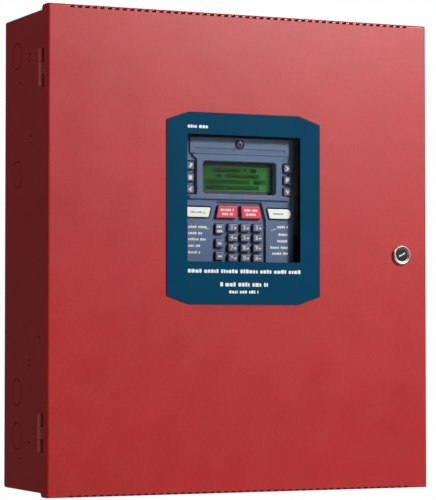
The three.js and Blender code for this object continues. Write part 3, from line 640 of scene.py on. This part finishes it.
def text(bm, body, x, z, size, y):
    """Raised lettering, its middle at a place on the front of a key."""
    curve = bpy.data.curves.new("text", "FONT")
    curve.body = body
    curve.size = size * MM
    curve.extrude = 0.03 * MM
    curve.offset = 0.06 * MM
    curve.resolution_u = 3
    curve.align_x = "CENTER"
    curve.align_y = "CENTER"
    source = bpy.data.objects.new("text", curve)
    bpy.context.scene.collection.objects.link(source)
    mesh = evaluated(source)
    mesh.transform(Matrix.Translation(Vector((x, y, z)) * MM) @ Matrix.Rotation(math.pi / 2, 4, "X"))
    bm.from_mesh(mesh)
    bpy.data.meshes.remove(mesh)
    bpy.data.objects.remove(source)
    bpy.data.curves.remove(curve)


def glyph(bm, corners, x, z, y):
    prism(bm, [(x + u, z + v) for u, v in corners], y - 0.05, y + 0.02, "y")


GLYPHS = {
    "left_1": [(-2.2, -1.9), (0.4, -1.9), (2.4, 0.9), (2.4, 2.2), (-0.6, 2.2), (0.2, 0.8)],
    "left_2": [(-1.9, -2), (1.9, -2), (1.9, 2), (-1.9, 2)],
    "left_3": [(-2.3, 0), (1.3, -2.4), (2.2, -1.4), (0.2, 0), (2.2, 1.4), (1.3, 2.4)],
    "right_1": [(-2.3, 1.4), (0.3, 0), (-2.3, -1.4), (-1.3, -2.4), (2.6, 0), (-1.3, 2.4)],
    "right_2": [(-1.9, -2), (-0.4, -2), (-0.4, -0.5), (1.9, -0.5), (1.9, 2), (-1.9, 2)],
    "right_3": [(-2.3, 1.6), (0, -2.3), (2.5, 1.6), (1.2, 2.1), (0, 0.2), (-1.1, 2.1)],
}


def legend(name, outline):
    """The print on one key."""
    marks = bmesh.new()
    x = sum(p[0] for p in outline) / 4
    z = sum(p[1] for p in outline) / 4
    y = key_front(name)
    if name in GLYPHS:
        glyph(marks, GLYPHS[name], x, z, y)
    elif name.startswith("red"):
        for i, offset in enumerate((2.1, -2.1)):
            bars(marks, x - 7.5 + 1.5 * i, x + 7 - i, z + offset, 2.6, y, hash_of(name) + i)
    elif name == "side_1":
        bars(marks, x - 3.4, x + 3.4, z + 2.3, 2.5, y, 31)
        bars(marks, x - 3.4, x + 3.4, z - 2.3, 2.5, y, 37)
    elif name.startswith("side"):
        bars(marks, x - 2.2, x + 2.4, z, 2.4, y, hash_of(name))
    elif name.startswith("white"):
        bars(marks, x - 8, x + 4, z, 1.5, y, hash_of(name))
    else:
        text(marks, {"star": "*", "hash": "#"}.get(name, name), x - 1.3, z + 0.1, 5.8, y)
        bars(marks, x + 1.2, x + 4.2, z - 0.2, 1.7, y, hash_of(name))
    return marks


def hash_of(name):
    return sum(ord(c) * (i + 3) for i, c in enumerate(name))


def keys():
    for name, outline in KEYS.items():
        front = key_front(name)
        look = KEY_WHITE_PAINTED_GLOW if "white" in name else KEY_RED if name.startswith("red") else KEY_GREY
        body = f"key_{name}_body"
        skirt = bmesh.new()
        draft = [(-0.9, -116.0), (-0.9, -117.0), (0.05, -117.0), (0.15, FACE + 0.4), (0.35, front + 0.9)]
        loft(skirt, [ring(outline, y, inset) for inset, y in draft])
        # Painted shade: the key's side wall takes the dark navy that stands in for its shade.
        piece(f"skirt_{name}", skirt, KEY_SKIRT_PAINTED_SHADE.made, body)
        cap = bmesh.new()
        rings = [ring(outline, front + 0.88, 0.35)]
        rings += [ring(outline, front + s, 0.35 + i) for i, s in arc(0.8, 4)]
        rings.append(ring(outline, front, 1.6))
        loft(cap, rings)
        piece(f"cap_{name}", cap, look.made, body, (f"key_{name}",))
        ink = KEY_GREY if "white" in name else INK
        piece(f"legend_{name}", legend(name, outline), ink.made, body)
    lamp = bmesh.new()
    dome = [(1.3, FACE - 1.55), (1.3, FACE - 1.8), (1.0, FACE - 2.05), (0.4, FACE - 2.15)]
    turned(lamp, -39.5, 40.8, dome, 20)
    piece("lamp_white_left", lamp, LED.made, "key_white_left_body")


def display_print():
    lines = bmesh.new()
    for i, (right, z) in enumerate(zip((-35.9, -42.2, -38, -44.2, -44.2), (27.4, 21, 14.8, 8.1, 1.4))):
        bars(lines, -56.8, right + 0.7, z - 1.2, 2.7, FACE, 40 + i, 0.05)
    for i, (left, z) in enumerate(zip((43.9, 45.4, 43.9, 36.1, 38.2), (29, 21.2, 14.4, 7.7, 1.5))):
        bars(lines, left, 56, z - 1.2, 2.7, FACE, 60 + i, 0.05)
    glyph(lines, [(-37, 23.7), (-33.5, 24.8), (-33.5, 25.3), (-37, 24.2)], 0, 0, FACE)
    glyph(lines, [(37, 23.8), (43, 25.8), (43, 26.3), (37, 24.3)], 0, 0, FACE)
    piece("display_print", lines, INK.made, "cabinet")


def lcd():
    face = -114.7
    module = bmesh.new()
    slab(module, rect(0, 77.3, 87, 38, 1), face, -108.2, 0.3)
    pcb = bmesh.new()
    slab(pcb, rect(0, 77.3, 98, 60, 1), -108.5, -107.1, 0.1)
    recess = bmesh.new()
    view = rect(1.6, 77.1, 76.2, 25.4, 1)
    loft(recess, [ring(view, face - 1), ring(view, face + 0.8)])
    made = carved(module, recess)
    piece("lcd_frame", made, LCD_DARK.made, "cabinet", ("lcd_module",), 0.2)
    piece("lcd_board", pcb, BOARD.made, "cabinet")
    glass = bmesh.new()
    slab(glass, rect(1.6, 77.1, 76, 25.2, 0.6), face + 0.3, face + 0.75, 0.1)
    piece("lcd_glass", glass, LCD_GREEN_PAINTED_SHADE.made, "cabinet")
    dice = random.Random(17)
    dots = bmesh.new()
    pitch, dot = 0.62, 0.62
    for line, (first, last) in enumerate(((2, 17), (3, 16), (0, 18), (0, 17))):
        top = 87.6 - 5.9 * line
        for place in range(20):
            if not first <= place <= last or dice.random() < 0.1:
                continue
            left = -33.9 + 3.6 * place
            for column in range(5):
                for row in range(7):
                    edge = column in (0, 4) or row in (0, 3, 6)
                    if dice.random() < (0.92 if edge else 0.55):
                        x, z = left + column * pitch, top - row * pitch
                        box(dots, (x, x + dot), (face + 0.26, face + 0.3), (z - dot, z))
    piece("lcd_dots", dots, LCD_DOT.made, "cabinet")


# ---------------------------------------------------------------- pieces shown as the CAD has them
CAD_LOOKS = {
    HINGE_PAINTED_HIGHLIGHT: ("hinge_leaf_case_upper", "hinge_leaf_case_lower", "hinge_leaf_door_upper",
                "hinge_leaf_door_lower", "hinge_pin_upper", "hinge_pin_lower"),
    ZINC: ("lock_nut", "lock_cam", "cam_screw", "chassis", "battery_strap"),
    BOARD: ("main_board", "keypad_board"),
    BLACK: ("relay_alarm", "relay_trouble", "main_capacitor", "sounder", "battery_left", "battery_right",
            "mains_terminal_block"),
    TERMINAL: ("terminal_strip_field", "terminal_strip_loop"),
    ALUMINIUM: ("heat_sink",),
    LAMINATION: ("transformer_core",),
    TAPE: ("transformer_coil",),
    BRASS: ("ground_stud",),
}


def dress_cad():
    for look, names in CAD_LOOKS.items():
        for name in names:
            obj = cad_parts[name]
            obj.data.materials.clear()
            obj.data.materials.append(look.made)
            bevel = obj.modifiers.new("edges", "BEVEL")
            bevel.width = 0.25 * MM
            bevel.segments = 2
            bevel.limit_method = "ANGLE"
            bevel.angle_limit = math.radians(40)


# ---------------------------------------------------------------- stage
def area_light(name, place, aim, size, power, colour=(1, 1, 1)):
    lamp = bpy.data.lights.new(name, "AREA")
    lamp.shape = "RECTANGLE"
    lamp.size, lamp.size_y = size
    lamp.energy = power
    lamp.color = colour
    obj = bpy.data.objects.new(name, lamp)
    obj.location = place
    obj.rotation_euler = (Vector(aim) - Vector(place)).to_track_quat("-Z", "Y").to_euler()
    bpy.context.scene.collection.objects.link(obj)


def studio():
    ground = bmesh.new()
    corners = [(-1600, -1700), (1600, -1700), (1600, 1300), (-1600, 1300)]
    prism(ground, corners, -755, -745, "z")
    obj = placed("floor", ground)
    pale = Finish("pale_floor", (232, 232, 230), 0.7)
    pale.mottle(3, 0.98, 1.02).roughness(5, 0.65, 0.75).bump(300, 0.02)
    obj.data.materials.append(pale.made)

    world = bpy.data.worlds.new("studio")
    bpy.context.scene.world = world
    world.use_nodes = True
    tree = world.node_tree
    back = next(n for n in tree.nodes if n.type == "BACKGROUND")
    path = tree.nodes.new("ShaderNodeLightPath")
    strength = tree.nodes.new("ShaderNodeMapRange")
    strength.inputs["To Min"].default_value = 0.06
    strength.inputs["To Max"].default_value = 1.0
    tree.links.new(path.outputs["Is Camera Ray"], strength.inputs["Value"])
    tree.links.new(strength.outputs["Result"], back.inputs["Strength"])
    back.inputs["Color"].default_value = (1, 1, 1, 1)

    area_light("key", (1.02, -1.72, 1.06), (0, -0.13, 0.05), (0.36, 0.36), 37)
    area_light("haze", (1.9, -2.9, 1.1), (0.1, -0.13, 0.15), (1.8, 1.9), 22)
    area_light("fill", (-1.15, -0.6, 1.5), (-0.2, -0.06, 0), (0.8, 0.8), 7.6)

    camera = bpy.data.objects.new("camera", bpy.data.cameras.new("camera"))
    camera.data.lens = 166.8
    camera.data.sensor_width = 36
    camera.location = (-1.004, -2.2799, -0.089)
    camera.rotation_euler = (math.radians(90 + 2.22), 0, math.radians(-24.44))
    bpy.context.scene.collection.objects.link(camera)
    bpy.context.scene.camera = camera
    bpy.context.scene.view_settings.view_transform = "Standard"


back_box()
door()
bezel()
overlay_print()
lock()
housing()
keys()
display_print()
lcd()
dress_cad()
studio()
